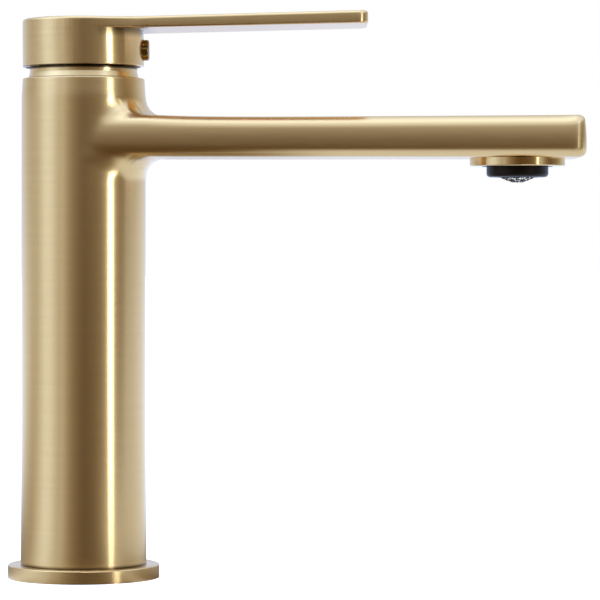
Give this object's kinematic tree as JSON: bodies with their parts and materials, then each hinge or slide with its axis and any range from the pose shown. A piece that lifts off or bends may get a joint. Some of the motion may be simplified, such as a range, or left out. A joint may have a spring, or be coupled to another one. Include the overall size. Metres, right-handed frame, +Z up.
{
  "type": "bathroom mixer faucet",
  "caption": "Tall single-lever basin mixer: round column on a deck flange, long flat cast spout with a tilting aerator, and a cap with a flat blade lever over a ceramic disc cartridge.",
  "frame": {"origin": "centre of the base's underside, on the column's axis, where the mixer meets the deck", "axes": "+Z up along the column's axis, +X along the spout towards its tip, +Y across, to the left of someone looking along +X"},
  "size_m": [0.2093, 0.055, 0.2053],
  "materials": {
    "brushed_gold": "brushed PVD gold on brass",
    "polished_gold": "polished gold",
    "black_rubber": "matt",
    "black_plastic": "satin",
    "white_ceramic": "lapped",
    "cartridge_plastic": "moulded",
    "red_plastic": "moulded",
    "machined_brass": "machined",
    "steel": "bright",
    "screen_mesh": "woven wire",
    "white_plastic": "moulded"
  },
  "bodies": {
    "fixed": {"body_casting": "brushed_gold", "base_flange": "brushed_gold", "base_gasket": "black_rubber", "cartridge_base": "cartridge_plastic", "hot_inlet_seal": "black_rubber", "cold_inlet_seal": "black_rubber", "fixed_ceramic_disc": "white_ceramic", "cartridge_housing": "cartridge_plastic", "housing_seal": "black_rubber", "temperature_limit_ring": "red_plastic", "cartridge_nut": "machined_brass", "neck_ring": "brushed_gold", "aerator_collar": "polished_gold", "aerator_socket": "black_plastic", "aerator_washer": "black_rubber"},
    "rotor": {"spindle_rotor": "cartridge_plastic", "spindle_pin": "steel"},
    "lever": {"lever_stem": "machined_brass", "lever_handle": "brushed_gold", "handle_set_screw": "steel", "indicator_plug": "polished_gold"},
    "disc": {"moving_ceramic_disc": "white_ceramic", "disc_coupler": "cartridge_plastic"},
    "aerator": {"aerator_knob": "black_plastic", "aerator_mesh": "screen_mesh", "aerator_jet_disc": "white_plastic", "aerator_inlet_screen": "screen_mesh"}
  },
  "joints": [
    {"name": "temperature_turn", "type": "hinge", "parent": "fixed", "child": "rotor", "pos_m": [0, 0, 0.169], "axis": [0, 0, 1], "range_deg": [-50, 50]},
    {"name": "lever_lift", "type": "hinge", "parent": "rotor", "child": "lever", "pos_m": [0, 0, 0.169], "axis": [0, -1, 0], "range_deg": [0, 25]},
    {"name": "disc_slide", "type": "slide", "parent": "rotor", "child": "disc", "axis": [1, 0, 0], "range_m": [0, 0.0033]},
    {"name": "aerator_tilt", "type": "hinge", "parent": "fixed", "child": "aerator", "pos_m": [0.1579, 0, 0.1545], "axis": [0, 1, 0], "range_deg": [-8, 8]}
  ],
  "couplings": [
    {"joint": "disc_slide", "follows": "lever_lift", "m_per_rad": 0.0073}
  ]
}
